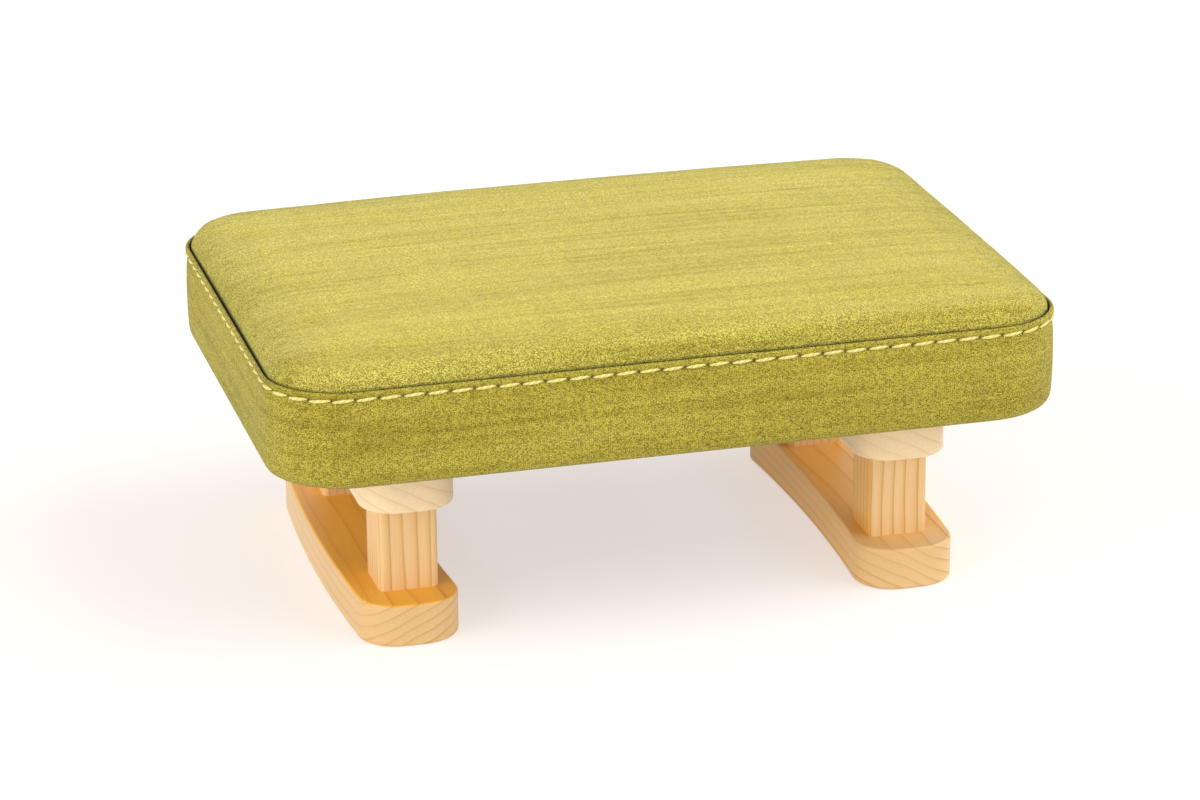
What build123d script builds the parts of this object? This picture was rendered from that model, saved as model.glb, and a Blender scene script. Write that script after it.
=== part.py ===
"""Upholstered footstool: a padded oblong seat on two pine leg frames, each a runner, two posts and a rail."""
import os

from build123d import *

# Seat, in millimetres. X runs along the long side, -Y is the front, and Z is up from the floor
seat_length = 400.0
seat_depth = 274.0
seat_corner = 38.0
band_height = 50.0
band_round = 6.0
lip_height = 6.0
lip_depth = 0.6
lip_round = 1.4
crown_height = 16.3
crown_swell = 6.5
crown_shoulder = 9.0
crown_tuck = 1.9
fabric = 1.2
slack = 0.3
board_thickness = 12.0
hem_width = 28.0

# Leg frames
leg_inset = 73.0
post_inset = 65.5
rear_post_inset = 76.0
post_size = 30.0
post_height = 45.0
post_edge = 3.0
runner_inset = 33.0
runner_width = 51.0
runner_height = 22.0
runner_bow = 5.0
runner_corner = 20.0
rail_inset = 40.0
rail_width = 47.5
rail_height = 29.0
rail_corner = 18.0
end_bow = 2.5
wood_edge = 1.6

# Fixings
fit = 0.05
dowel_radius = 4.0
dowel_length = 24.0
dowel_offset = 7.0
screw_radius = 2.2
screw_length = 45.0
screw_head_radius = 4.4
screw_head_depth = 3.0
bolt_radius = 3.0
bolt_head_radius = 5.0
bolt_head_height = 4.0
bolt_inset = 104.0
bolt_head_recess = 9.0
washer_radius = 6.0
washer_thickness = 1.2
nut_wall = 0.9
nut_flange_radius = 9.0
nut_flange_thickness = 1.5
socket_across = 4.0
socket_depth = 2.2
staple_width = 10.0
staple_wire = 0.8
staple_leg = 6.0
staple_step = 30.0
staple_inset = 18.0

# Places of the pieces under the seat, each drawn in from the seat's own edges
leg_spacing = seat_length - 2 * leg_inset
post_spacing = seat_depth - post_inset - rear_post_inset
post_middle = (post_inset - rear_post_inset) / 2
bolt_spacing = seat_depth - 2 * bolt_inset
runner_length = seat_depth - 2 * runner_inset
rail_length = seat_depth - 2 * rail_inset

# Heights of the joints between the pieces
post_foot = runner_height
rail_foot = post_foot + post_height
seat_foot = rail_foot + rail_height
board_foot = seat_foot + fabric
board_top = board_foot + board_thickness
seam_height = seat_foot + band_height
seat_top = seam_height + crown_height
crown_radius = (seat_length ** 2 + seat_depth ** 2) / (8 * crown_swell)
shoulder_radius = min(crown_shoulder, crown_height - crown_swell)
washer_foot = rail_foot + bolt_head_recess - washer_thickness
nut_radius = bolt_radius + fit + nut_wall

parts_folder = "parts"
os.makedirs(parts_folder, exist_ok=True)


def save(piece, name):
    """Labels a finished piece and writes its STEP file."""
    piece.label = name
    export_step(piece, os.path.join(parts_folder, name + ".step"))


def seat_outline(inset, mode=Mode.ADD):
    """The seat's rounded oblong, drawn in by inset all round, in the current sketch."""
    corner = max(seat_corner - inset, seat_corner / 4)
    RectangleRounded(seat_length - 2 * inset, seat_depth - 2 * inset, corner, mode=mode)


def crowned_block(foot, inset, layer):
    """A block with the seat's crown, its sides drawn in by inset and its top lowered by layer."""
    with BuildPart() as block:
        with BuildSketch(Plane.XY.offset(foot)):
            seat_outline(inset)
        extrude(amount=seat_top - foot)
        with Locations((0, 0, seat_top - crown_radius)):
            Sphere(crown_radius - layer, mode=Mode.INTERSECT)
        rim = block.faces().sort_by(Axis.Z)[-1].edges()
        fillet(rim, radius=shoulder_radius - layer)
    return block.part


def band_block(foot, inset, layer):
    """The band's body up to the seam, with its lower edge rounded."""
    with BuildPart() as block:
        with BuildSketch(Plane.XY.offset(foot)):
            seat_outline(inset)
        extrude(amount=seam_height - foot)
        fillet(block.faces().sort_by(Axis.Z)[0].edges(), radius=band_round - layer)
    return block.part


def leg_outline(length, width, corner, bow):
    """A long block with rounded ends, seen from above, whose long sides bow along X."""
    side, end = width / 2, length / 2
    corners = [(-side, -end), (side, -end), (side, end), (-side, end)]
    with BuildSketch() as outline:
        with BuildLine():
            ThreePointArc(corners[0], (0, -end - end_bow), corners[1])
            if bow:
                ThreePointArc(corners[1], (side + bow, 0), corners[2])
            else:
                Line(corners[1], corners[2])
            ThreePointArc(corners[2], (0, end + end_bow), corners[3])
            if bow:
                ThreePointArc(corners[3], (-side + bow, 0), corners[0])
            else:
                Line(corners[3], corners[0])
        make_face()
        fillet(outline.vertices(), corner)
    return outline.sketch


def dowel_group(middle, gap):
    """Dowels with their middles at this height, one in each post, grown by gap to bore their holes."""
    with BuildPart() as group:
        with Locations((0, post_middle + dowel_offset, middle)):
            with GridLocations(leg_spacing, post_spacing, 2, 2):
                Cylinder(dowel_radius + gap, dowel_length + 2 * gap)
    return group.part


def screw_group(head, direction, gap):
    """Countersunk screws driven from their heads' height, up (1) or down (-1), grown by gap to bore their holes."""
    shank, cap = screw_radius + gap, screw_head_radius + gap
    neck, tip = screw_head_depth * direction, (screw_length + gap) * direction
    with BuildPart() as group:
        for x in (-leg_spacing / 2, leg_spacing / 2):
            for y in (post_middle - post_spacing / 2, post_middle + post_spacing / 2):
                axis_foot = Vector(x, y - dowel_offset, head)
                with BuildSketch(Plane(axis_foot, x_dir=(1, 0, 0), z_dir=(0, -1, 0))):
                    with BuildLine():
                        Polyline((0, 0), (cap, 0), (shank, neck), (shank, tip), (0, tip), close=True)
                    make_face()
                revolve(axis=Axis(axis_foot, (0, 0, 1)))
    return group.part


def staple_group(gap):
    """Staples that pin the turned-under hem to the board, with their legs grown by gap to prick their holes."""
    half_x, half_y = seat_length / 2 - staple_inset, seat_depth / 2 - staple_inset
    count_x = int((seat_length - 2 * seat_corner) // staple_step)
    count_y = int((seat_depth - 2 * seat_corner) // staple_step)
    reach, leg = (staple_width - staple_wire) / 2, staple_wire + 2 * gap
    with BuildPart() as group:
        with BuildSketch(Plane.XY.offset(seat_foot)):
            with GridLocations(staple_step, 2 * half_y, count_x, 2):
                Rectangle(staple_width, staple_wire)
            with GridLocations(2 * half_x, staple_step, 2, count_y):
                Rectangle(staple_wire, staple_width)
        extrude(amount=-staple_wire)
        with BuildSketch(Plane.XY.offset(seat_foot)):
            with GridLocations(staple_step, 2 * half_y, count_x, 2):
                with Locations((-reach, 0), (reach, 0)):
                    Rectangle(leg, leg)
            with GridLocations(2 * half_x, staple_step, 2, count_y):
                with Locations((0, -reach), (0, reach)):
                    Rectangle(leg, leg)
        extrude(amount=staple_leg + gap)
    return group.part


# Leg frames: each has a bowed runner on the floor, two posts and a rail under the seat
post_bores = [
    dowel_group(post_foot, fit),
    dowel_group(rail_foot, fit),
    screw_group(0, 1, fit),
    screw_group(seat_foot, -1, fit),
]
for side, outward in {"left": -1, "right": 1}.items():
    leg_x = outward * leg_spacing / 2

    with BuildPart() as runner:
        with BuildSketch():
            with Locations((leg_x, 0)):
                add(leg_outline(runner_length, runner_width, runner_corner, outward * runner_bow))
        extrude(amount=runner_height)
        fillet(runner.faces().sort_by(Axis.Z)[-1].edges(), radius=wood_edge)
        fillet(runner.faces().sort_by(Axis.Z)[0].edges(), radius=wood_edge)
        for bore in post_bores:
            add(bore, mode=Mode.SUBTRACT)
    save(runner.part, side + "_runner")

    with BuildPart() as rail:
        with BuildSketch(Plane.XY.offset(rail_foot)):
            with Locations((leg_x, 0)):
                add(leg_outline(rail_length, rail_width, rail_corner, 0))
        extrude(amount=rail_height)
        fillet(rail.faces().sort_by(Axis.Z)[0].edges(), radius=wood_edge)
        for bore in post_bores:
            add(bore, mode=Mode.SUBTRACT)
        with BuildSketch(Plane.XY.offset(rail_foot)):
            with Locations((leg_x, 0)):
                with GridLocations(rail_width, bolt_spacing, 1, 2):
                    Circle(washer_radius + slack)
        extrude(amount=bolt_head_recess, mode=Mode.SUBTRACT)
        with BuildSketch(Plane.XY.offset(rail_foot)):
            with Locations((leg_x, 0)):
                with GridLocations(rail_width, bolt_spacing, 1, 2):
                    Circle(bolt_radius + slack)
        extrude(amount=rail_height, mode=Mode.SUBTRACT)
    save(rail.part, side + "_rail")

    for end, back in {"front": -1, "rear": 1}.items():
        with BuildPart() as post:
            with BuildSketch(Plane.XY.offset(post_foot)):
                with Locations((leg_x, post_middle + back * post_spacing / 2)):
                    RectangleRounded(post_size, post_size, post_edge)
            extrude(amount=post_height)
            for bore in post_bores:
                add(bore, mode=Mode.SUBTRACT)
        save(post.part, f"{side}_{end}_post")

save(dowel_group(post_foot, 0), "runner_dowels")
save(dowel_group(rail_foot, 0), "rail_dowels")
save(screw_group(0, 1, 0), "runner_screws")
save(screw_group(seat_foot, -1, 0), "rail_screws")

# Board inside the seat, bored for the tee nuts and pricked by the staples
staple_bores = staple_group(fit)
with BuildPart() as board:
    add(band_block(board_foot, lip_depth + fabric + slack, fabric))
    with BuildSketch(Plane.XY.offset(board_top)):
        Rectangle(2 * seat_length, 2 * seat_depth)
    extrude(amount=seat_top, mode=Mode.SUBTRACT)
    with BuildSketch(Plane.XY.offset(board_top)):
        with GridLocations(leg_spacing, bolt_spacing, 2, 2):
            Circle(nut_flange_radius + fit)
    extrude(amount=-nut_flange_thickness, mode=Mode.SUBTRACT)
    with BuildSketch(Plane.XY.offset(board_top)):
        with GridLocations(leg_spacing, bolt_spacing, 2, 2):
            Circle(nut_radius + fit)
    extrude(amount=-board_thickness, mode=Mode.SUBTRACT)
    add(staple_bores, mode=Mode.SUBTRACT)
save(board.part, "seat_board")

# Bolts that hold the rails to the board, each with a washer in the rail's counterbore and a tee nut in the board
with BuildPart() as tee_nuts:
    with BuildSketch(Plane.XY.offset(board_top)):
        with GridLocations(leg_spacing, bolt_spacing, 2, 2):
            Circle(nut_flange_radius)
    extrude(amount=-nut_flange_thickness)
    with BuildSketch(Plane.XY.offset(board_top)):
        with GridLocations(leg_spacing, bolt_spacing, 2, 2):
            Circle(nut_radius)
    extrude(amount=-board_thickness)
    with BuildSketch(Plane.XY.offset(board_top)):
        with GridLocations(leg_spacing, bolt_spacing, 2, 2):
            Circle(bolt_radius + fit)
    extrude(amount=-board_thickness, mode=Mode.SUBTRACT)
save(tee_nuts.part, "tee_nuts")

with BuildPart() as seat_bolts:
    with BuildSketch(Plane.XY.offset(washer_foot)):
        with GridLocations(leg_spacing, bolt_spacing, 2, 2):
            Circle(bolt_head_radius)
    extrude(amount=-bolt_head_height)
    with BuildSketch(Plane.XY.offset(washer_foot)):
        with GridLocations(leg_spacing, bolt_spacing, 2, 2):
            Circle(bolt_radius)
    extrude(amount=board_top - washer_foot)
    with BuildSketch(Plane.XY.offset(washer_foot - bolt_head_height)):
        with GridLocations(leg_spacing, bolt_spacing, 2, 2):
            RegularPolygon(socket_across / 2, 6, major_radius=False)
    extrude(amount=socket_depth, mode=Mode.SUBTRACT)
save(seat_bolts.part, "seat_bolts")

with BuildPart() as bolt_washers:
    with BuildSketch(Plane.XY.offset(washer_foot)):
        with GridLocations(leg_spacing, bolt_spacing, 2, 2):
            Circle(washer_radius)
            Circle(bolt_radius + fit, mode=Mode.SUBTRACT)
    extrude(amount=washer_thickness)
save(bolt_washers.part, "bolt_washers")

# Dust cover that closes the underside inside the hem, holed for the bolts
with BuildPart() as dust_cover:
    with BuildSketch(Plane.XY.offset(seat_foot)):
        seat_outline(hem_width + slack)
        with GridLocations(leg_spacing, bolt_spacing, 2, 2):
            Circle(bolt_radius + slack, mode=Mode.SUBTRACT)
    extrude(amount=fabric)
save(dust_cover.part, "dust_cover")

# Cover: a side band that turns under the board, with a folded lip at its top, and a crowned top panel sewn to it
with BuildPart() as cover_band:
    add(band_block(seat_foot, lip_depth, 0))
    with BuildSketch(Plane.XY.offset(seam_height - lip_height)):
        seat_outline(0)
    extrude(amount=lip_height)
    fillet(cover_band.faces().sort_by(Axis.Z)[-1].edges(), radius=lip_round)
    add(band_block(board_foot, lip_depth + fabric, fabric), mode=Mode.SUBTRACT)
    with BuildSketch(Plane.XY.offset(seat_foot)):
        seat_outline(hem_width)
    extrude(amount=fabric, mode=Mode.SUBTRACT)
    add(staple_bores, mode=Mode.SUBTRACT)
save(cover_band.part, "cover_band")

with BuildPart() as cover_top:
    add(crowned_block(seam_height, crown_tuck, 0))
    add(crowned_block(seam_height, crown_tuck + fabric, fabric), mode=Mode.SUBTRACT)
save(cover_top.part, "cover_top")

# Foam on the board, filling the cover with a little slack
foam_block = crowned_block(board_top, crown_tuck + fabric + slack, fabric + slack)
save(foam_block, "foam_block")

save(staple_group(0), "staples")
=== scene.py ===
"""A footstool: a padded, topstitched cloth seat on two pine leg frames, in a pale studio."""
import logging
import math
from collections.abc import Callable
from dataclasses import dataclass, field
from enum import Enum

import bpy
from mathutils import Matrix, Vector, noise


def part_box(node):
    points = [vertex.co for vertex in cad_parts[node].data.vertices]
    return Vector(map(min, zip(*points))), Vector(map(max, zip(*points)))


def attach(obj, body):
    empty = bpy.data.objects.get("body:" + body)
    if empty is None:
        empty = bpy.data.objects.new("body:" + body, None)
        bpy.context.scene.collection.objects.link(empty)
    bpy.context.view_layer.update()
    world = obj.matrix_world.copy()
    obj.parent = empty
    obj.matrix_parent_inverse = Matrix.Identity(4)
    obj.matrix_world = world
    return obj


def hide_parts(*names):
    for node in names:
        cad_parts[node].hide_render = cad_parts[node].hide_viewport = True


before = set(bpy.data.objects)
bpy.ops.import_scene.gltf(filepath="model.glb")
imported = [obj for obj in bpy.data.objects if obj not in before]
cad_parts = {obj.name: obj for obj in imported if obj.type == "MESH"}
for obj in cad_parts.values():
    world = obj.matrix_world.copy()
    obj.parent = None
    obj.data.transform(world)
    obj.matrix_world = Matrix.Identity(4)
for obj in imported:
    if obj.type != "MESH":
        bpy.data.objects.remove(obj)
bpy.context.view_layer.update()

MM = 0.001
FULL_TURN = 2 * math.pi
QUARTER_TURN = math.pi / 2
NEARLY = 0.9
TINY = 1e-9
# A Mix node's colours go by number, because its number and vector sockets have the same names.
MIX_COLOURS = (6, 7)
MIX_RESULT = 2
LOG = logging.getLogger("footstool")

Colour = tuple[float, float, float]
Point = tuple[float, float, float]


class Grain(Enum):
    """Which way the wood's fibres run, as the order of the along, side and face axes."""

    FRONT_TO_BACK = ("Y", "X", "Z")
    UPRIGHT = ("Z", "X", "Y")


class Weave(Enum):
    """What a cloth's streaks follow: the seat's long side, or the run of the band."""

    LONG_SIDE = "Object"
    BAND_RUN = "UV"


class Place(Enum):
    """A place on the stool that the CAD nodes are named for."""

    @property
    def word(self) -> str:
        """The place as a node's name gives it."""
        return self.name.lower()


class Side(Place):
    """Which leg frame, with the way from it to the seat's middle along X."""

    LEFT = 1
    RIGHT = -1


class End(Place):
    """Which end of a leg frame, with the way to it along Y."""

    FRONT = -1
    REAR = 1


class Signal:
    """A number that varies over a surface; arithmetic on it adds Math nodes."""

    def __init__(self, tree: bpy.types.NodeTree, socket: bpy.types.NodeSocket) -> None:
        """Wraps one output socket of a node tree."""
        self.tree = tree
        self.socket = socket

    def math(self, operation: str, *operands: "Signal | float") -> "Signal":
        """Adds one Math node.

        Args:
            operation: the Math node's operation.
            operands: its inputs in order, as signals or numbers.

        Returns:
            The node's result.
        """
        node = self.tree.nodes.new("ShaderNodeMath")
        node.operation = operation
        for slot, operand in zip(node.inputs, operands):
            if isinstance(operand, Signal):
                self.tree.links.new(operand.socket, slot)
            else:
                slot.default_value = operand
        return Signal(self.tree, node.outputs[0])

    def __add__(self, other: "Signal | float") -> "Signal":
        """self + other."""
        return self.math("ADD", self, other)

    def __radd__(self, other: float) -> "Signal":
        """other + self."""
        return self.math("ADD", other, self)

    def __sub__(self, other: "Signal | float") -> "Signal":
        """self - other."""
        return self.math("SUBTRACT", self, other)

    def __rsub__(self, other: float) -> "Signal":
        """other - self."""
        return self.math("SUBTRACT", other, self)

    def __mul__(self, other: "Signal | float") -> "Signal":
        """self * other."""
        return self.math("MULTIPLY", self, other)

    def __rmul__(self, other: float) -> "Signal":
        """other * self."""
        return self.math("MULTIPLY", other, self)

    def __truediv__(self, other: "Signal | float") -> "Signal":
        """self / other."""
        return self.math("DIVIDE", self, other)

    def __pow__(self, other: "Signal | float") -> "Signal":
        """self to the power of other."""
        return self.math("POWER", self, other)

    def __abs__(self) -> "Signal":
        """The signal without its sign."""
        return self.math("ABSOLUTE", self)

    def fraction(self) -> "Signal":
        """The part after the decimal point."""
        return self.math("FRACT", self)

    def sine(self) -> "Signal":
        """The sine of the signal in radians."""
        return self.math("SINE", self)


class Sheet:
    """One material's node tree, with a Principled surface that the finishes dress."""

    def __init__(self, name: str) -> None:
        """Makes an empty material with a surface and its coordinates.

        Args:
            name: the material's name.
        """
        self.material = bpy.data.materials.new(name)
        self.material.use_nodes = True
        self.tree = self.material.node_tree
        self.tree.nodes.clear()
        self.surface = self.node("ShaderNodeBsdfPrincipled")
        self.output = self.node(
            "ShaderNodeOutputMaterial", sockets={"Surface": self.surface.outputs["BSDF"]})
        self.coordinates = self.node("ShaderNodeTexCoord")

    def node(self, kind: str, settings: dict[str, object] | None = None,
             sockets: dict[str | int, object] | None = None) -> bpy.types.Node:
        """Adds a node, sets it up and fills its sockets.

        Args:
            kind: the node's type name.
            settings: attributes set first; stops holds a ramp's places and colours.
            sockets: input names or numbers, each with a value, signal or socket.

        Returns:
            The node.
        """
        node = self.tree.nodes.new(kind)
        for key, value in (settings or {}).items():
            if key == "stops":
                self._set_stops(node.color_ramp, value)
            else:
                setattr(node, key, value)
        self._fill(node, sockets or {})
        return node

    def feed(self, sockets: dict[str | int, object]) -> None:
        """Sets or links the surface's own sockets."""
        self._fill(self.surface, sockets)

    def _fill(self, node: bpy.types.Node, sockets: dict[str | int, object]) -> None:
        """Sets or links a node's inputs.

        Args:
            node: the node in hand.
            sockets: input names or numbers, each with a value, signal or socket.
        """
        for key, value in sockets.items():
            source = value.socket if isinstance(value, Signal) else value
            if isinstance(source, bpy.types.NodeSocket):
                self.tree.links.new(source, node.inputs[key])
            else:
                node.inputs[key].default_value = source

    @staticmethod
    def _set_stops(ramp: bpy.types.ColorRamp, stops: list[tuple[float, Colour]]) -> None:
        """Gives a ramp its stops.

        Args:
            ramp: the ramp in hand.
            stops: its places from 0 to 1, each with a colour.
        """
        while len(ramp.elements) < len(stops):
            ramp.elements.new(1.0)
        for element, (place, colour) in zip(ramp.elements, stops):
            element.position = place
            element.color = (*colour, 1.0)

    def signal(self, node: bpy.types.Node, output: str | int = 0) -> Signal:
        """One output of a node as a signal."""
        return Signal(self.tree, node.outputs[output])

    def place(self, source: str = "Object") -> bpy.types.NodeSocket:
        """The coordinates that a pattern is laid out in."""
        return self.coordinates.outputs[source]

    def axes(self, source: str = "Object") -> dict[str, Signal]:
        """The X, Y and Z of the coordinates as signals."""
        split = self.node("ShaderNodeSeparateXYZ", sockets={"Vector": self.place(source)})
        return {axis: self.signal(split, axis) for axis in "XYZ"}

    def attribute(self, name: str) -> Signal:
        """A number that the mesh carries at its points."""
        return self.signal(self.node("ShaderNodeAttribute", {"attribute_name": name}), "Fac")

    def cloud(self, stretch: Point, offset: Point = (0.0, 0.0, 0.0), detail: float = 2.0,
              source: str = "Object", rough: float = 0.5) -> Signal:
        """Noise with its own pitch along each axis.

        Args:
            stretch: blotches per metre along X, Y and Z.
            offset: where in the noise the piece lies.
            detail: octaves of finer noise.
            source: the coordinates it follows.
            rough: how strong the finer octaves are.

        Returns:
            The noise, from 0 to 1 and mostly near a half.
        """
        mapping = self.node("ShaderNodeMapping", sockets={
            "Vector": self.place(source), "Location": offset, "Scale": stretch})
        cloud = self.node("ShaderNodeTexNoise", sockets={
            "Vector": mapping.outputs["Vector"], "Scale": 1.0, "Detail": detail,
            "Roughness": rough})
        return self.signal(cloud, 0)

    def step(self, value: Signal, low: float, high: float) -> Signal:
        """A smooth step from 0 at low to 1 at high."""
        node = self.node("ShaderNodeMapRange", {"interpolation_type": "SMOOTHSTEP"}, {
            "Value": value, "From Min": low, "From Max": high})
        return self.signal(node, "Result")

    def ramp(self, value: Signal, stops: list[tuple[float, Colour]]) -> bpy.types.NodeSocket:
        """A colour picked from stops by a signal."""
        return self.node("ShaderNodeValToRGB", {"stops": stops}, {0: value}).outputs["Color"]

    def mix(self, factor: "Signal | float", first: "bpy.types.NodeSocket | Colour",
            second: "bpy.types.NodeSocket | Colour", blend: str = "MIX") -> bpy.types.NodeSocket:
        """Mixes two colours.

        Args:
            factor: the share of the second colour.
            first: the colour underneath.
            second: the colour on top.
            blend: the way they are mixed.

        Returns:
            The mixed colour.
        """
        pair = [(*colour, 1.0) if isinstance(colour, tuple) else colour
                for colour in (first, second)]
        node = self.node("ShaderNodeMix", {"data_type": "RGBA", "blend_type": blend},
                         {"Factor": factor, **dict(zip(MIX_COLOURS, pair))})
        return node.outputs[MIX_RESULT]

    def shade(self, colour: bpy.types.NodeSocket, level: Signal) -> bpy.types.NodeSocket:
        """Multiplies a colour by a grey level."""
        grey = self.node("ShaderNodeCombineColor", sockets={0: level, 1: level, 2: level})
        return self.mix(1.0, colour, grey.outputs[0], "MULTIPLY")

    def emboss(self, height: Signal, depth: float, strength: float = 1.0) -> None:
        """Feeds a height to the surface's normal.

        Args:
            height: the relief, from 0 to 1.
            depth: how deep it is, in metres.
            strength: how much of it shows.
        """
        bump = self.node("ShaderNodeBump", sockets={
            "Height": height, "Distance": depth, "Strength": strength})
        self.feed({"Normal": bump.outputs["Normal"]})


@dataclass(frozen=True)
class Cheek:
    """A stretch of a timber with painted light and shade, by its distance from a middle along one
    axis.

    The tone begins at the start distance and is whole at the full one, which may be nearer.
    """

    axis: str
    middle: float
    start: float
    full: float
    tint: Colour


@dataclass(frozen=True)
class PineFinish:
    """Clear-lacquered pine, with growth rings about a pith line beside the piece."""

    name: str
    grain: Grain
    pith: tuple[float, float]
    seed: float
    ring: float = 4.2 * MM
    pale: Colour = (0.85, 0.57, 0.27)
    warm: Colour = (0.81, 0.495, 0.19)
    late: Colour = (0.60, 0.295, 0.075)
    cheek: Cheek | None = None
    wander: float = 9 * MM
    ripple: float = 1.6 * MM
    ring_least: float = 0.34
    ring_spread: float = 0.50
    relief: float = 0.10 * MM

    def material(self) -> bpy.types.Material:
        """Lays out the rings, the fibres and the lacquer.

        Returns:
            The finished material.
        """
        sheet = Sheet(self.name)
        axes = sheet.axes()
        shift = (self.seed, self.seed * 0.7, self.seed * 1.3)
        turn = self._growth(sheet, axes, shift)
        colour = self._tone(sheet, axes, turn, shift)
        fibre = sheet.cloud(self._stretch(26.0, 1500.0), shift, 3.0, rough=0.6)
        fleck = sheet.step(sheet.cloud(self._stretch(45.0, 900.0), shift, 0.0), 0.66, 0.78)
        level = 0.90 + 0.20 * fibre - 0.05 * fleck
        sheet.feed({
            "Base Color": sheet.shade(colour, level), "Roughness": 0.36 + 0.18 * fibre,
            "Coat Weight": 0.18, "Coat Roughness": 0.28, "Specular IOR Level": 0.4})
        sheet.emboss(fibre * 0.5 + turn * 0.3 - fleck * 0.4, self.relief, 0.5)
        return sheet.material

    def _growth(self, sheet: Sheet, axes: dict[str, Signal], shift: Point) -> Signal:
        """How far through a year's growth each place lies.

        Args:
            sheet: the material in hand.
            axes: the place's X, Y and Z.
            shift: where in the noise the piece lies.

        Returns:
            The share of the year, from 0 to 1.
        """
        _, side, face = self.grain.value
        wander = sheet.cloud(self._stretch(5.0, 16.0), shift, 2.0) - 0.5
        ripple = sheet.cloud(self._stretch(14.0, 60.0), shift, 1.0) - 0.5
        reach = ((axes[side] - self.pith[0]) ** 2.0 + (axes[face] - self.pith[1]) ** 2.0) ** 0.5
        return ((reach + wander * self.wander + ripple * self.ripple) / self.ring).fraction()

    def _tone(self, sheet: Sheet, axes: dict[str, Signal], turn: Signal,
              shift: Point) -> bpy.types.NodeSocket:
        """The wood's colour before its fibres, with its painted light and shade.

        Args:
            sheet: the material in hand.
            axes: the place's X, Y and Z.
            turn: how far through a year's growth it lies.
            shift: where in the noise the piece lies.

        Returns:
            The colour.
        """
        rings = sheet.ramp(turn, [
            (0.0, self.pale), (0.45, self.pale), (0.76, self.warm), (0.92, self.late),
            (0.98, self.pale)])
        body = sheet.cloud(self._stretch(4.0, 20.0), shift, 2.0)
        bold = sheet.step(sheet.cloud(self._stretch(3.0, 34.0), shift[::-1], 1.0), 0.35, 0.65)
        ground = sheet.mix(sheet.step(body, 0.3, 0.7), self.pale, self.warm)
        colour = sheet.mix(self.ring_least + self.ring_spread * bold, ground, rings)
        # Painted light and shade: a tint by place on the piece that stands in for the light it
        # gets.
        if self.cheek:
            away = abs(axes[self.cheek.axis] - self.cheek.middle)
            tinted = sheet.mix(1.0, colour, self.cheek.tint, "MULTIPLY")
            colour = sheet.mix(
                sheet.step(away, self.cheek.start, self.cheek.full), colour, tinted)
        return colour

    def _stretch(self, along: float, across: float) -> Point:
        """Blotches per metre along X, Y and Z, long with the grain."""
        return tuple(along if axis == self.grain.value[0] else across for axis in "XYZ")


@dataclass(frozen=True)
class ClothFinish:
    """Soft linen-look cloth with slubs in its weft and a pebbled nap."""

    name: str
    weave: Weave
    bright: Colour = (0.91, 0.785, 0.160)
    body: Colour = (0.80, 0.675, 0.114)
    deep: Colour = (0.57, 0.47, 0.048)
    grit: float = 950.0
    nap_depth: float = 0.16 * MM
    nap_shade: float = 0.56
    brim_shade: float = 0.0
    gutter_shade: float = 0.85
    slub_share: float = 0.95
    broad_share: float = 0.7
    warp_share: float = 0.25
    yarn_share: float = 0.3
    hole_shade: float = 0.60
    row_shade: float = 0.22
    stitch_height: float | None = None
    stitch_pitch: float | None = None

    def material(self) -> bpy.types.Material:
        """Lays out the slubs, the nap, the shaded seam and, on a band, the needle holes.

        Returns:
            The finished material.
        """
        sheet = Sheet(self.name)
        source = self.weave.value
        across = 1.3 * self.grit
        slub = sheet.cloud((8.0, 290.0, 290.0), (0.3, 0.1, 0.7), 3.0, source, 0.6)
        broad = sheet.cloud((5.0, 46.0, 46.0), (1.7, 0.4, 0.2), 2.0, source)
        warp = sheet.cloud((170.0, 14.0, 14.0), (2.2, 0.9, 0.5), 2.0, source)
        wool = sheet.cloud((self.grit, across, across), detail=1.0, source=source, rough=0.6)
        nap = sheet.step(abs(wool - 0.5), 0.0, 0.12)
        yarn = sheet.cloud((420.0, 1250.0, 1250.0), (0.6, 0.2, 0.9), 1.0, source)
        tone = 0.5
        for cloud, share in ((slub, self.slub_share), (broad, self.broad_share),
                             (warp, self.warp_share), (yarn, self.yarn_share)):
            tone = tone + share * (cloud - 0.5)
        colour = sheet.ramp(tone, [(0.12, self.deep), (0.50, self.body), (0.86, self.bright)])
        colour = sheet.shade(colour, 1.0 - self.nap_shade + self.nap_shade * nap)
        # Painted shade on the cloth near the pad's rim, deeper where the nap is low.
        if self.brim_shade:
            brim = sheet.attribute("brim")
            colour = sheet.shade(colour, 1.0 - self.brim_shade * brim * (1.45 - nap))
        relief = nap * 0.62 + yarn * 0.23 + slub * 0.15
        colour = sheet.shade(colour, 1.0 - self.gutter_shade * sheet.attribute("gutter"))
        if self.stitch_pitch is not None:
            colour, relief = self._sew(sheet, colour, relief)
        sheet.feed({
            "Base Color": colour, "Roughness": 0.86 + 0.12 * nap, "Sheen Weight": 0.12,
            "Sheen Roughness": 0.45, "Specular IOR Level": 0.18})
        sheet.emboss(relief, self.nap_depth, 0.8)
        return sheet.material

    def _sew(self, sheet: Sheet, colour: bpy.types.NodeSocket,
             relief: Signal) -> tuple[bpy.types.NodeSocket, Signal]:
        """Shades the stitch row, and pulls the cloth in at each needle hole.

        Args:
            sheet: the material in hand.
            colour: the cloth's colour so far.
            relief: its height so far.

        Returns:
            The colour and the height with the sewing added.
        """
        run = sheet.axes("UV")
        wave = ((run["X"] / self.stitch_pitch + 0.25) * FULL_TURN).sine()
        row = 1.0 - sheet.step(abs(run["Y"] - self.stitch_height), 0.4 * MM, 1.6 * MM)
        hole = sheet.step(wave, 0.86, 0.99) * row
        level = (1.0 - self.hole_shade * hole) * (1.0 - self.row_shade * row)
        return sheet.shade(colour, level), relief - hole


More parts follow.
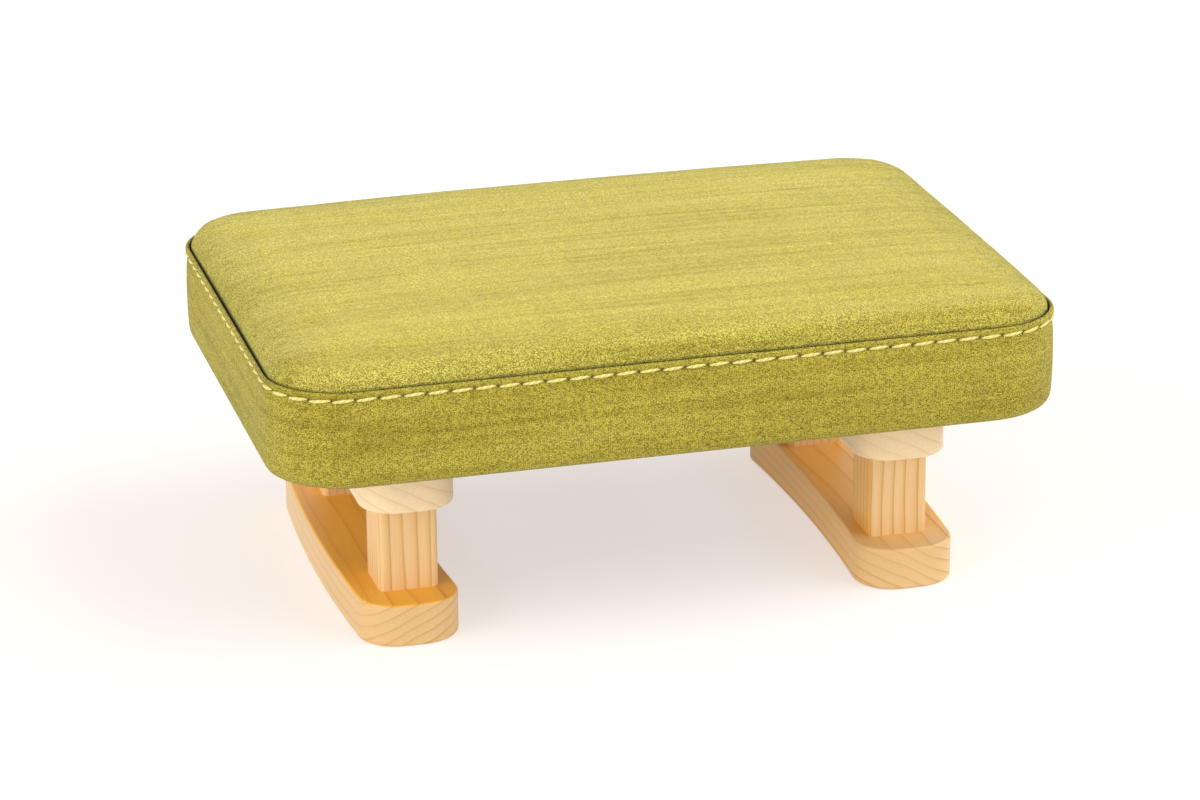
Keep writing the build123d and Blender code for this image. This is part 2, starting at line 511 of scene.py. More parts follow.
@dataclass(frozen=True)
class ThreadFinish:
    """Pale thick sewing thread of twisted plies."""

    name: str = "topstitch_thread"
    crest: Colour = (0.88, 0.78, 0.27)
    valley_shade: Colour = (0.70, 0.60, 0.17)
    twists: float = 5.0

    def material(self) -> bpy.types.Material:
        """Winds the plies along each stitch.

        Returns:
            The finished material.
        """
        sheet = Sheet(self.name)
        lay = sheet.axes("UV")
        ply = 0.5 + 0.5 * ((lay["X"] * 2.0 + lay["Y"] * self.twists) * FULL_TURN).sine()
        fuzz = sheet.cloud((1500.0, 1500.0, 1500.0), detail=2.0)
        height = ply * 0.7 + fuzz * 0.3
        # Painted shade: the grooves between the plies take the darker valley colour.
        colour = sheet.ramp(height, [(0.1, self.valley_shade), (0.75, self.crest)])
        sheet.feed({"Base Color": colour, "Roughness": 0.6 + 0.2 * fuzz, "Sheen Weight": 0.1})
        sheet.emboss(height, 0.12 * MM, 0.6)
        return sheet.material


@dataclass(frozen=True)
class DustClothFinish:
    """Black non-woven cloth with a pressed grid of dots."""

    name: str = "dust_cloth"
    fibre_dark: Colour = (0.018, 0.018, 0.020)
    fibre_pale: Colour = (0.060, 0.060, 0.064)
    dots: float = 420.0

    def material(self) -> bpy.types.Material:
        """Lays out the fibres and the dots.

        Returns:
            The finished material.
        """
        sheet = Sheet(self.name)
        axes = sheet.axes()
        turn = FULL_TURN * self.dots
        dot = sheet.step((axes["X"] * turn).sine() * (axes["Y"] * turn).sine(), 0.1, 0.7)
        fibre = sheet.cloud((380.0, 520.0, 400.0), detail=4.0, rough=0.7)
        colour = sheet.ramp(fibre - dot * 0.12, [(0.25, self.fibre_dark), (0.8, self.fibre_pale)])
        sheet.feed({"Base Color": colour, "Roughness": 0.78 + 0.15 * fibre})
        sheet.emboss(fibre * 0.5 - dot * 0.5, 0.25 * MM, 0.7)
        return sheet.material


@dataclass(frozen=True)
class SteelFinish:
    """Bright zinc-plated steel with fine turning marks and a little dulling."""

    name: str = "zinc_steel"
    bright: Colour = (0.66, 0.66, 0.67)
    dull: Colour = (0.46, 0.46, 0.48)

    def material(self) -> bpy.types.Material:
        """Lays out the marks and the dulled patches.

        Returns:
            The finished material.
        """
        sheet = Sheet(self.name)
        patch = sheet.cloud((160.0, 160.0, 160.0), detail=3.0)
        marks = sheet.cloud((900.0, 900.0, 4200.0), detail=1.0)
        colour = sheet.ramp(patch, [(0.3, self.dull), (0.7, self.bright)])
        sheet.feed({
            "Base Color": colour, "Metallic": 0.9 + 0.1 * patch,
            "Roughness": 0.22 + 0.25 * patch})
        sheet.emboss(marks, 0.03 * MM, 0.4)
        return sheet.material


@dataclass(frozen=True)
class PlyFinish:
    """Raw plywood with its plies showing at the edge."""

    name: str = "birch_ply"
    pale: Colour = (0.70, 0.53, 0.34)
    glue: Colour = (0.38, 0.24, 0.13)
    ply: float = 1.5 * MM

    def material(self) -> bpy.types.Material:
        """Lays out the plies and the face grain.

        Returns:
            The finished material.
        """
        sheet = Sheet(self.name)
        layer = (sheet.axes()["Z"] / self.ply).fraction()
        fibre = sheet.cloud((18.0, 700.0, 700.0), detail=3.0)
        colour = sheet.mix(sheet.step(layer, 0.80, 0.95), self.pale, self.glue)
        sheet.feed({
            "Base Color": sheet.shade(colour, 0.82 + 0.3 * fibre),
            "Roughness": 0.62 + 0.2 * fibre})
        sheet.emboss(fibre, 0.12 * MM, 0.5)
        return sheet.material


class Bench:
    """Modelling by hand: the few operator steps that every new piece uses."""

    @staticmethod
    def clear() -> None:
        """Leaves edit mode and deselects everything."""
        if bpy.context.object and bpy.context.object.mode != "OBJECT":
            bpy.ops.object.mode_set(mode="OBJECT")
        bpy.ops.object.select_all(action="DESELECT")

    @staticmethod
    def focus(piece: bpy.types.Object) -> None:
        """Makes one piece the only selected and active one.

        Args:
            piece: the piece in hand.
        """
        Bench.clear()
        piece.select_set(True)
        bpy.context.view_layer.objects.active = piece

    @staticmethod
    def block(name: str, centre: Point, size: Point) -> bpy.types.Object:
        """Adds a block at its size and place, with both in its mesh.

        Args:
            name: the piece's name.
            centre: the middle of the block, in metres.
            size: its edges along X, Y and Z.

        Returns:
            The block, in object mode.
        """
        Bench.clear()
        bpy.ops.mesh.primitive_cube_add(size=1.0, location=centre, scale=size)
        piece = bpy.context.object
        piece.name = piece.data.name = name
        bpy.ops.object.transform_apply(location=True, rotation=True, scale=True)
        return piece

    @staticmethod
    def unpick(piece: bpy.types.Object, mode: tuple[bool, bool, bool]) -> None:
        """Deselects all of a piece's mesh, and says what is picked next.

        Args:
            piece: the piece in hand.
            mode: whether points, edges and faces are picked.
        """
        Bench.focus(piece)
        bpy.context.tool_settings.mesh_select_mode = mode
        for group in (piece.data.polygons, piece.data.edges, piece.data.vertices):
            group.foreach_set("select", [False] * len(group))

    @staticmethod
    def pick_edges(piece: bpy.types.Object, test: Callable[[Vector, Vector], bool]) -> None:
        """Selects the edges whose two ends pass a test, and enters edit mode.

        Args:
            piece: the piece in hand.
            test: a function of the two ends.
        """
        Bench.unpick(piece, (False, True, False))
        for edge in piece.data.edges:
            edge.select = test(*(piece.data.vertices[i].co for i in edge.vertices))
        bpy.ops.object.mode_set(mode="EDIT")

    @staticmethod
    def pick_points(piece: bpy.types.Object, test: Callable[[Vector], bool]) -> None:
        """Selects the points that pass a test, and enters edit mode.

        Args:
            piece: the piece in hand.
            test: a function of the point's place.
        """
        Bench.unpick(piece, (True, False, False))
        for point in piece.data.vertices:
            point.select = test(point.co)
        bpy.ops.object.mode_set(mode="EDIT")

    @staticmethod
    def finish(piece: bpy.types.Object, kind: str, **settings: object) -> None:
        """Adds a modifier with its settings and applies it.

        Args:
            piece: the piece in hand.
            kind: the modifier's type name.
            settings: its attributes.
        """
        Bench.focus(piece)
        modifier = piece.modifiers.new(kind.title(), kind)
        for key, value in settings.items():
            setattr(modifier, key, value)
        bpy.ops.object.modifier_apply(modifier=modifier.name)

    @staticmethod
    def mark(piece: bpy.types.Object, name: str, values: list[float]) -> None:
        """Gives each point of a piece a number that its finish reads."""
        layer = piece.data.attributes.new(name, "FLOAT", "POINT")
        layer.data.foreach_set("value", values)

    @staticmethod
    def smooth(piece: bpy.types.Object) -> None:
        """Shades a piece smooth."""
        Bench.focus(piece)
        bpy.ops.object.shade_smooth()

    @staticmethod
    def paint(node: str, material: bpy.types.Material) -> None:
        """Puts a finish on one CAD node.

        Args:
            node: the node's name.
            material: its finish.
        """
        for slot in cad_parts[node].material_slots:
            slot.material = material
        LOG.info("%s: %s", node, material.name)

    @staticmethod
    def hand_over(piece: bpy.types.Object, slot: str, material: bpy.types.Material,
                  *nodes: str) -> None:
        """Dresses a piece, rides it on the stool and lets it stand for CAD nodes.

        Args:
            piece: the finished piece.
            slot: a material slot's name; not used.
            material: its finish.
            nodes: the CAD nodes it stands for.
        """
        Bench.clear()
        piece.data.materials.clear()
        piece.data.materials.append(material)
        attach(piece, "root")
        if nodes:
            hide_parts(*nodes)
        LOG.info("%s: %d faces", piece.name, len(piece.data.polygons))


@dataclass
class SeatPlan:
    """The seat's rounded oblong, seen from above, with distances along it."""

    corner: float = 38.0 * MM
    half_x: float = field(init=False)
    half_y: float = field(init=False)
    foot: float = field(init=False)
    seam: float = field(init=False)
    top: float = field(init=False)

    def __post_init__(self) -> None:
        """Takes the seat's sizes from the CAD nodes."""
        low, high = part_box("cover_band")
        self.half_x, self.half_y = high[0], high[1]
        self.foot, self.seam = low[2], high[2]
        self.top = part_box("cover_top")[1][2]

    @property
    def straights(self) -> tuple[float, float]:
        """Lengths of the straight runs along X and along Y."""
        return 2 * (self.half_x - self.corner), 2 * (self.half_y - self.corner)

    @property
    def bend(self) -> float:
        """The way round one corner."""
        return QUARTER_TURN * self.corner

    @property
    def round_trip(self) -> float:
        """The whole way round."""
        return 2 * sum(self.straights) + FULL_TURN * self.corner

    def walk(self, x: float, y: float) -> float:
        """How far round a point lies, from the front left corner's end, anticlockwise from above.

        Args:
            x: the point's X.
            y: the point's Y.

        Returns:
            The distance along the outline, in metres.
        """
        run_x, run_y = self.straights
        bend = self.bend
        inner_x, inner_y = run_x / 2, run_y / 2
        if abs(x) > inner_x and abs(y) > inner_y:
            side_x, side_y = (1 if x > 0 else -1), (1 if y > 0 else -1)
            start, start_angle = {
                (1, -1): (run_x, -QUARTER_TURN),
                (1, 1): (run_x + bend + run_y, 0.0),
                (-1, 1): (2 * run_x + 2 * bend + run_y, QUARTER_TURN),
                (-1, -1): (2 * run_x + 3 * bend + 2 * run_y, -math.pi),
            }[side_x, side_y]
            angle = math.atan2(side_y * (abs(y) - inner_y), side_x * (abs(x) - inner_x))
            return start + (angle - start_angle) * self.corner
        if abs(y) > inner_y:
            return x + inner_x if y < 0 else run_x + 2 * bend + run_y + (inner_x - x)
        if x > 0:
            return run_x + bend + y + inner_y
        return 2 * run_x + 3 * bend + run_y + (inner_y - y)

    def inset(self, x: float, y: float) -> float:
        """How far inside the outline a point lies.

        Args:
            x: the point's X.
            y: the point's Y.

        Returns:
            The distance, in metres.
        """
        run_x, run_y = self.straights
        away = (abs(x) - run_x / 2, abs(y) - run_y / 2)
        if min(away) > 0.0:
            return self.corner - math.hypot(*away)
        return self.corner - max(away)

    def spot(self, distance: float, inset: float) -> tuple[Point, float]:
        """A point on the outline and the way it runs there.

        Args:
            distance: how far round, as walk gives it.
            inset: how far inside the outline.

        Returns:
            The point at height 0, and the run's direction in radians.
        """
        run_x, run_y = self.straights
        inner_x, inner_y = run_x / 2, run_y / 2
        bend = self.bend
        left = distance % self.round_trip
        reach = self.corner - inset
        centres = [(inner_x, -inner_y), (inner_x, inner_y), (-inner_x, inner_y),
                   (-inner_x, -inner_y)]
        for quarter, (run, centre) in enumerate(zip((run_x, run_y, run_x, run_y), centres)):
            heading = quarter * QUARTER_TURN
            ahead = Vector((math.cos(heading), math.sin(heading)))
            outward = Vector((ahead.y, -ahead.x))
            middle = Vector(centre)
            if left <= run:
                place = middle - ahead * (run - left) + outward * reach
                return (place.x, place.y, 0.0), heading
            left -= run
            if left <= bend:
                turn = left / self.corner
                spoke = outward * math.cos(turn) + ahead * math.sin(turn)
                place = middle + spoke * reach
                return (place.x, place.y, 0.0), heading + turn
            left -= bend
        return self.spot(0.0, inset)


@dataclass
class SeatPad:
    """The crowned top of the seat: foam under the cover's top panel, swelled as cloth."""

    plan: SeatPlan
    tuck: float = 2.9 * MM
    sunk: float = 8.0 * MM
    shoulder: float = 13.0 * MM
    corner_segments: int = 14
    shoulder_segments: int = 8
    voxel: float = 4.0 * MM
    pressure: float = 4.0
    frames: int = 20
    cap: float = 1.2 * MM
    swell: float = 6.8 * MM
    ease: float = 0.30
    crease: float = 0.30 * MM
    crease_pitch: tuple[float, float] = (9.0, 42.0)
    ripple_pitch: tuple[float, float] = (26.0, 70.0)
    ripple_share: float = 0.4
    crease_clear: float = 4 * MM
    crease_fade: float = 5 * MM
    gutter_top: float = 0.3 * MM
    gutter_depth: float = 0.9 * MM
    brim: float = 44.0 * MM
    brim_shade: float = 0.42

    @property
    def rise(self) -> float:
        """How far the shoulder climbs above the seam, before the crown."""
        return self.plan.top - self.plan.seam - self.cap - self.swell

    def build(self) -> bpy.types.Object:
        """Models, swells and dresses the pad.

        Returns:
            The finished piece.
        """
        plan = self.plan
        flatten = self.rise / self.shoulder
        crest = plan.seam + self.shoulder
        foot = plan.seam - self.sunk / flatten
        size = (2 * (plan.half_x - self.tuck), 2 * (plan.half_y - self.tuck), crest - foot)
        pad = Bench.block("seat_pad", (0.0, 0.0, (crest + foot) / 2), size)
        Bench.pick_edges(pad, lambda a, b: abs(a.z - b.z) > size[2] / 2)
        bpy.ops.mesh.bevel(
            offset=plan.corner - self.tuck, segments=self.corner_segments, affect="EDGES")
        Bench.pick_edges(pad, lambda a, b: min(a.z, b.z) > crest - MM)
        bpy.ops.mesh.bevel(
            offset=self.shoulder, segments=self.shoulder_segments, affect="EDGES")
        bpy.ops.mesh.select_all(action="SELECT")
        bpy.ops.transform.resize(
            value=(1.0, 1.0, flatten), center_override=(0.0, 0.0, plan.seam))
        Bench.clear()
        Bench.finish(pad, "REMESH", mode="VOXEL", voxel_size=self.voxel)
        self._crown(pad)
        self._swell(pad)
        Bench.finish(pad, "SUBSURF", levels=1, render_levels=1)
        self._crease(pad)
        self._mark_gutter(pad)
        self._mark_brim(pad)
        Bench.smooth(pad)
        finish = ClothFinish("cover_cloth_top", Weave.LONG_SIDE, brim_shade=self.brim_shade)
        Bench.hand_over(pad, "cover_cloth", finish.material(), "cover_top", "foam_block")
        return pad

    def _crown(self, pad: bpy.types.Object) -> None:
        """Raises the middle of the pad.

        Args:
            pad: the pad, flat on top.
        """
        plan = self.plan
        for point in pad.data.vertices:
            lift = max(0.0, (point.co.z - plan.seam + self.sunk) / (self.rise + self.sunk))
            bow_x = 1 - (point.co.x / plan.half_x) ** 2
            bow_y = 1 - (point.co.y / plan.half_y) ** 2
            point.co.z += self.swell * lift * max(0.0, bow_x * bow_y) ** self.ease

    def _swell(self, pad: bpy.types.Object) -> None:
        """Blows the pad up as cloth, held below the seam, and keeps a capped share of it.

        Args:
            pad: the crowned pad.
        """
        mesh = pad.data
        held = pad.vertex_groups.new(name="sewn")
        held.add([p.index for p in mesh.vertices if p.co.z < self.plan.seam + MM], 1.0, "REPLACE")
        cloth = pad.modifiers.new("Swell", "CLOTH")
        settings = cloth.settings
        settings.quality = 5
        settings.mass = 0.3
        settings.tension_stiffness = settings.compression_stiffness = 18.0
        settings.shear_stiffness = 7.0
        settings.bending_stiffness = 1.5
        settings.use_pressure = True
        settings.uniform_pressure_force = self.pressure
        settings.effector_weights.gravity = 0.0
        settings.vertex_group_mass = held.name
        cloth.collision_settings.use_collision = False
        cloth.point_cache.frame_start = 1
        cloth.point_cache.frame_end = self.frames
        for step in range(1, self.frames + 1):
            bpy.context.scene.frame_set(step)
        swelled = pad.evaluated_get(bpy.context.evaluated_depsgraph_get()).data
        moves = [after.co - before.co for after, before in zip(swelled.vertices, mesh.vertices)]
        pad.modifiers.remove(cloth)
        bpy.context.scene.frame_set(1)
        for point, move in zip(mesh.vertices, moves):
            point.co += move * min(1.0, self.cap / max(move.length, TINY))
        pad.vertex_groups.clear()
        LOG.info("swell: up to %.1f mm", max(move.length for move in moves) / MM)

    def _crease(self, pad: bpy.types.Object) -> None:
        """Lays long soft creases into the top, and keeps them off the seam.

        Args:
            pad: the swelled pad.
        """
        (long_x, long_y), (fine_x, fine_y) = self.crease_pitch, self.ripple_pitch
        for point in pad.data.vertices:
            above = point.co.z - self.plan.seam - self.crease_clear
            free = min(1.0, max(0.0, above / self.crease_fade))
            long = noise.noise(Vector((point.co.x * long_x, point.co.y * long_y, 1.7)))
            fine = noise.noise(Vector((point.co.x * fine_x, point.co.y * fine_y, 5.1)))
            point.co.z += free * self.crease * (long + self.ripple_share * fine)

    def _mark_gutter(self, pad: bpy.types.Object) -> None:
        """Marks the cloth that turns down into the seam, which lies in shade.

        Args:
            pad: the creased pad.
        """
        edge = self.plan.seam + self.gutter_top
        depths = [(edge - point.co.z) / self.gutter_depth for point in pad.data.vertices]
        Bench.mark(pad, "gutter", [min(1.0, max(0.0, depth)) for depth in depths])

    def _mark_brim(self, pad: bpy.types.Object) -> None:
        """Marks the cloth near the rim, over the shoulder, where the finish paints shade."""
        insets = [self.plan.inset(point.co.x, point.co.y) for point in pad.data.vertices]
        Bench.mark(pad, "brim", [max(0.0, 1.0 - inset / self.brim) ** 2 for inset in insets])


@dataclass
class SeatBand:
    """The cover's side band: rounded under the board, with a folded lip above a stitch row."""

    plan: SeatPlan
    stitches: int = 111
    stitch_drop: float = 3.7 * MM
    stitch_tuck: float = 0.75 * MM
    pucker: float = 0.35 * MM
    pucker_reach: float = 2.2 * MM
    corner_segments: int = 24
    turned_rows: int = 2
    parked: float = 10.0
    pace: float = 10.0 * MM
    spacing: float = 2.6 * MM

    @property
    def stitch_height(self) -> float:
        """How high the stitch row runs."""
        return self.plan.seam - self.stitch_drop

    @property
    def waist(self) -> float:
        """Half the band's height, below which its run turns in under the board."""
        return (self.plan.foot + self.plan.seam) / 2

    @property
    def stitch_pitch(self) -> float:
        """From one stitch to the next."""
        return self.plan.round_trip / self.stitches

    @property
    def rows(self) -> list[tuple[float, float]]:
        """The band's section from the hem's edge up to the seam's turn, as inset and height.

        Its lists are in millimetres: up from the foot, and for the lip down from the stitches.
        """
        under = [(28.0, 0.6), (17.0, 0.5), (7.5, 0.25), (5.0, 0.35), (2.7, 1.1), (1.0, 3.0),
                 (0.4, 6.2)]
        side = [(0.25, 11.0), (0.05, 18.0), (0.0, 26.0), (0.15, 34.0), (0.4, 39.5), (0.7, 42.6)]
        lip = [(1.4, 1.2), (0.75, -0.1), (0.3, -1.0), (0.1, -1.9), (0.25, -2.9), (0.7, -3.5),
               (1.5, -3.7), (2.2, -3.2), (2.5, 0.4)]
        below = [(inset * MM, self.plan.foot + rise * MM) for inset, rise in under + side]
        above = [(inset * MM, self.stitch_height - drop * MM) for inset, drop in lip]
        return below + above

    def build(self) -> bpy.types.Object:
        """Models and dresses the band.

        Returns:
            The finished piece.
        """
        plan, rows = self.plan, self.rows
        tall = self.pace * (len(rows) - 1)
        band = Bench.block("seat_band", (0.0, 0.0, self.parked + tall / 2),
                           (2 * plan.half_x, 2 * plan.half_y, tall))
        Bench.pick_edges(band, lambda a, b: abs(a.z - b.z) > tall / 2)
        bpy.ops.mesh.bevel(offset=plan.corner, segments=self.corner_segments, affect="EDGES")
        self._open_ends(band)
        for axis, run in enumerate(plan.straights):
            self._divide(band, axis, run)
        self._cut_rows(band, len(rows))
        self._mark_gutter(band, len(rows))
        for number, (inset, height) in enumerate(rows):
            self._place_row(band, number, inset, height)
        Bench.clear()
        self._mark_run(band)
        Bench.finish(band, "SUBSURF", levels=1, render_levels=1)
        Bench.smooth(band)
        # The band is the same cloth as the top with deeper colours: painted shade on the band's
        # sides.
        finish = ClothFinish(
            "cover_cloth_band", Weave.BAND_RUN, bright=(0.74, 0.62, 0.098),
            body=(0.62, 0.513, 0.063), deep=(0.405, 0.322, 0.025), nap_depth=0.26 * MM,
            nap_shade=0.74, stitch_height=self.stitch_height, stitch_pitch=self.stitch_pitch)
        Bench.hand_over(band, "cover_cloth", finish.material(), "cover_band")
        return band

    def _level(self, number: float) -> float:
        """How high a row of the parked wall lies, by its number."""
        return self.parked + number * self.pace

    @staticmethod
    def _open_ends(band: bpy.types.Object) -> None:
        """Takes off the block's top and bottom faces.

        Args:
            band: the rounded block.
        """
        Bench.unpick(band, (False, False, True))
        for face in band.data.polygons:
            face.select = abs(face.normal.z) > NEARLY
        bpy.ops.object.mode_set(mode="EDIT")
        bpy.ops.mesh.delete(type="ONLY_FACE")
        bpy.ops.object.mode_set(mode="OBJECT")

    def _divide(self, band: bpy.types.Object, axis: int, run: float) -> None:
        """Cuts the wall's straight runs along one axis into short steps."""
        Bench.pick_edges(band, lambda a, b: abs(a[axis] - b[axis]) > NEARLY * run)
        bpy.ops.mesh.subdivide(number_cuts=int(run / self.spacing))

    def _cut_rows(self, band: bpy.types.Object, count: int) -> None:
        """Cuts the wall into one row of points for each step of the section.

        Args:
            band: the open wall.
            count: the number of rows.
        """
        Bench.focus(band)
        bpy.ops.object.mode_set(mode="EDIT")
        for number in range(1, count - 1):
            bpy.ops.mesh.select_all(action="SELECT")
            bpy.ops.mesh.bisect(
                plane_co=(0.0, 0.0, self._level(number)), plane_no=(0.0, 0.0, 1.0))

    def _mark_gutter(self, band: bpy.types.Object, count: int) -> None:
        """Marks the last rows, which turn down into the seam and lie in shade.

        Args:
            band: the wall with its rows.
            count: the number of rows.
        """
        Bench.clear()
        turn = self._level(count - self.turned_rows - 0.5)
        Bench.mark(band, "gutter", [float(point.co.z > turn) for point in band.data.vertices])

    def _place_row(self, band: bpy.types.Object, number: int, inset: float,
                   height: float) -> None:
        """Draws one row in and moves it to its height.

        Args:
            band: the wall with its rows.
            number: the row's number.
            inset: how far inside the outline it lies.
            height: how high it lies.
        """
        plan, level = self.plan, self._level(number)
        Bench.pick_points(band, lambda place: abs(place.z - level) < self.pace / 4)
        bpy.ops.transform.resize(
            value=(1 - inset / plan.half_x, 1 - inset / plan.half_y, 1.0),
            center_override=(0.0, 0.0, level))
        bpy.ops.transform.translate(value=(0.0, 0.0, height - level))

    def _mark_run(self, band: bpy.types.Object) -> None:
        """Gives the band its run as a UV map, and a pucker at each needle hole.

        Args:
            band: the shaped band.
        """
        plan, mesh = self.plan, band.data
        walks = [plan.walk(point.co.x, point.co.y) for point in mesh.vertices]
        while mesh.uv_layers:
            mesh.uv_layers.remove(mesh.uv_layers[0])
        run = mesh.uv_layers.new(name="run")
        for face in mesh.polygons:
            first = walks[face.vertices[0]]
            for loop in face.loop_indices:
                index = mesh.loops[loop].vertex_index
                walk = walks[index]
                walk += plan.round_trip * round((first - walk) / plan.round_trip)
                place = mesh.vertices[index].co
                under = plan.inset(place.x, place.y) if place.z < self.waist else 0.0
                run.data[loop].uv = (walk, place.z - under)
        for point, walk in zip(mesh.vertices, walks):
            wave = math.cos(FULL_TURN * walk / self.stitch_pitch)
            near = max(0.0, 1 - abs(point.co.z - self.stitch_height) / self.pucker_reach)
            pull = 1 - self.pucker * near * max(0.0, wave) / plan.half_y
            point.co.x *= pull
            point.co.y *= pull


@dataclass
class Topstitch:
    """The row of long pale stitches below the lip, all round the seat."""

    plan: SeatPlan
    band: SeatBand
    length: float = 10.8 * MM
    tall: float = 1.8 * MM
    deep: float = 1.5 * MM
    slant: float = math.radians(5.0)
    sway: float = 0.25 * MM
    dip: float = 0.55
    sink: float = 0.1
    sides: int = 10
    rings: int = 9

    def build(self) -> bpy.types.Object:
        """Models one stitch, copies it round the seat and dresses the row.

        Returns:
            The finished piece.
        """
        first = self._stitch()
        pitch = self.band.stitch_pitch
        copies = []
        for number in range(self.band.stitches):
            place, heading = self.plan.spot((number + 0.5) * pitch, self.band.stitch_tuck)
            copy = first.copy()
            copy.data = first.data.copy()
            bpy.context.scene.collection.objects.link(copy)
            sway = self.sway * noise.noise(Vector((number * 1.7, 0.3, 0.9)))
            turn = Matrix.Rotation(heading, 4, "Z") @ Matrix.Rotation(-self.slant, 4, "Y")
            centre = (place[0], place[1], self.band.stitch_height + sway)
            copy.matrix_world = Matrix.Translation(centre) @ turn
            copies.append(copy)
        bpy.data.objects.remove(first)
        Bench.clear()
        for copy in copies:
            copy.select_set(True)
        bpy.context.view_layer.objects.active = copies[0]
        bpy.ops.object.join()
        row = bpy.context.object
        row.name = row.data.name = "topstitch_row"
        bpy.ops.object.transform_apply(location=True, rotation=True, scale=True)
        Bench.smooth(row)
        Bench.hand_over(row, "cover_cloth", ThreadFinish().material())
        return row

    def _stitch(self) -> bpy.types.Object:
        """One stitch, thick in the middle, with ends that dip into the cloth.

        Returns:
            The stitch, at the origin along X.
        """
        middle = (0.0, 0.0, 0.0)
        Bench.clear()
        bpy.ops.mesh.primitive_uv_sphere_add(
            segments=self.sides, ring_count=self.rings, radius=0.5)
        stitch = bpy.context.object
        bpy.ops.object.mode_set(mode="EDIT")
        bpy.ops.mesh.select_all(action="SELECT")
        bpy.ops.transform.rotate(value=QUARTER_TURN, orient_axis="Y", center_override=middle)
        bpy.ops.transform.resize(
            value=(self.length, self.deep, self.tall), center_override=middle)
        bpy.ops.object.mode_set(mode="OBJECT")
        for point in stitch.data.vertices:
            share = abs(point.co.x) / (self.length / 2)
            point.co.y += self.dip * self.deep * share ** 3 - self.sink * self.deep
        return stitch


@dataclass
class DustCover:
    """The black cloth stretched over the underside, inside the hem."""

    corner: float = 10.0 * MM
    corner_segments: int = 6
    inset: float = 0.4 * MM
    thickness: float = 0.5 * MM

    def build(self) -> bpy.types.Object:
        """Models and dresses the cloth.

        Returns:
            The finished piece.
        """
        low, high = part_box("dust_cover")
        size = (high[0] - low[0] - 2 * self.inset, high[1] - low[1] - 2 * self.inset)
        Bench.clear()
        bpy.ops.mesh.primitive_plane_add(size=1.0, location=(0.0, 0.0, (low[2] + high[2]) / 2))
        cover = bpy.context.object
        cover.name = cover.data.name = "dust_cloth_panel"
        cover.scale = (*size, 1.0)
        bpy.ops.object.transform_apply(location=True, rotation=True, scale=True)
        Bench.pick_points(cover, lambda place: True)
        bpy.ops.mesh.bevel(
            offset=self.corner, segments=self.corner_segments, affect="VERTICES")
        bpy.ops.object.mode_set(mode="OBJECT")
        Bench.finish(cover, "SOLIDIFY", thickness=self.thickness, offset=0.0)
        Bench.hand_over(cover, "dust_cloth", DustClothFinish().material(), "dust_cover")
        return cover


@dataclass
class LegFrames:
    """The two pine leg frames, which keep their CAD shapes and get a piece of timber each."""

    runner_pith: tuple[float, float] = (62 * MM, -120 * MM)
    rail_pith: tuple[float, float] = (70 * MM, -60 * MM)
    post_pith: tuple[float, float] = (120 * MM, 75 * MM)
    runner_ring: float = 5.2 * MM
    rail_ring: float = 7.0 * MM
    post_ring: float = 4.0 * MM
    runner_seed: float = 3.1
    rail_seed: float = 7.3
    post_seed: float = 11.0
    # Painted shade on the left runner's top.
    painted_top_shade: Colour = (1.2, 0.90, 0.21)
    # Painted light, brighter and warmer, on the right runner's middle.
    painted_middle_light: Colour = (1.26, 1.10, 0.66)
    # Painted shade on the right posts' inner sides.
    painted_inner_shade: Colour = (1.1, 0.89, 0.39)

    def dress(self) -> None:
        """Cuts each piece from its own place in the timber."""
        for number, side in enumerate(Side):
            Bench.paint(f"{side.word}_runner", self._runner(side, number).material())
            Bench.paint(f"{side.word}_rail", self._rail(side, number).material())
            for end in End:
                post = self._post(side, end, number)
                Bench.paint(f"{side.word}_{end.word}_post", post.material())

    @staticmethod
    def _leg_x(side: Side) -> float:
        """How far along the seat a leg frame's middle lies."""
        low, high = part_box(f"{side.word}_front_post")
        return (low[0] + high[0]) / 2

    def _runner(self, side: Side, number: int) -> PineFinish:
        """A runner's timber, with painted shade on the left one's top and painted light on the
        right one's middle.

        Args:
            side: which leg frame it is in.
            number: the frame's number.

        Returns:
            The finish.
        """
        _, reach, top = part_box(f"{side.word}_runner")[1]
        if side is Side.LEFT:
            # Painted shade on the left runner's top face.
            cheek = Cheek("Z", 0.0, top - 1.4 * MM, top - 0.2 * MM, self.painted_top_shade)
        else:
            # Painted light on the right runner's middle, fading towards its ends.
            cheek = Cheek("Y", 0.0, reach - 2 * MM, reach - 44 * MM, self.painted_middle_light)
        pith = (self._leg_x(side) + side.value * self.runner_pith[0], self.runner_pith[1])
        return PineFinish(
            f"{side.word}_runner_pine", Grain.FRONT_TO_BACK, pith, self.runner_seed + number,
            ring=self.runner_ring, pale=(0.78, 0.52, 0.245), warm=(0.745, 0.452, 0.174),
            late=(0.55, 0.27, 0.068), cheek=cheek)

    def _rail(self, side: Side, number: int) -> PineFinish:
        """A rail's paler timber.

        Args:
            side: which leg frame it is in.
            number: the frame's number.

        Returns:
            The finish.
        """
        pith = (self._leg_x(side) - self.rail_pith[0], self.rail_pith[1])
        return PineFinish(
            f"{side.word}_rail_pine", Grain.FRONT_TO_BACK, pith, self.rail_seed + number,
            ring=self.rail_ring, pale=(1.0, 0.77, 0.475), warm=(0.98, 0.71, 0.40),
            late=(0.90, 0.59, 0.285))

    def _post(self, side: Side, end: End, number: int) -> PineFinish:
        """A post's timber, with painted shade on the inner side of the right posts.

        Args:
            side: which leg frame it is in.
            end: which end of it.
            number: the frame's number.

        Returns:
            The finish.
        """
        low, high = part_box(f"{side.word}_front_post")
        width = high[0] - low[0]
        # Painted shade on the post's inner side, used on the right posts.
        inner = Cheek("X", high[0], width - 1.0 * MM, width - 0.2 * MM, self.painted_inner_shade)
        pith = (self._leg_x(side) + self.post_pith[0] * end.value, self.post_pith[1])
        seed = self.post_seed + 2 * number + end.value
        return PineFinish(
            f"{side.word}_{end.word}_post_pine", Grain.UPRIGHT, pith, seed,
            ring=self.post_ring, cheek=inner if side is Side.RIGHT else None)


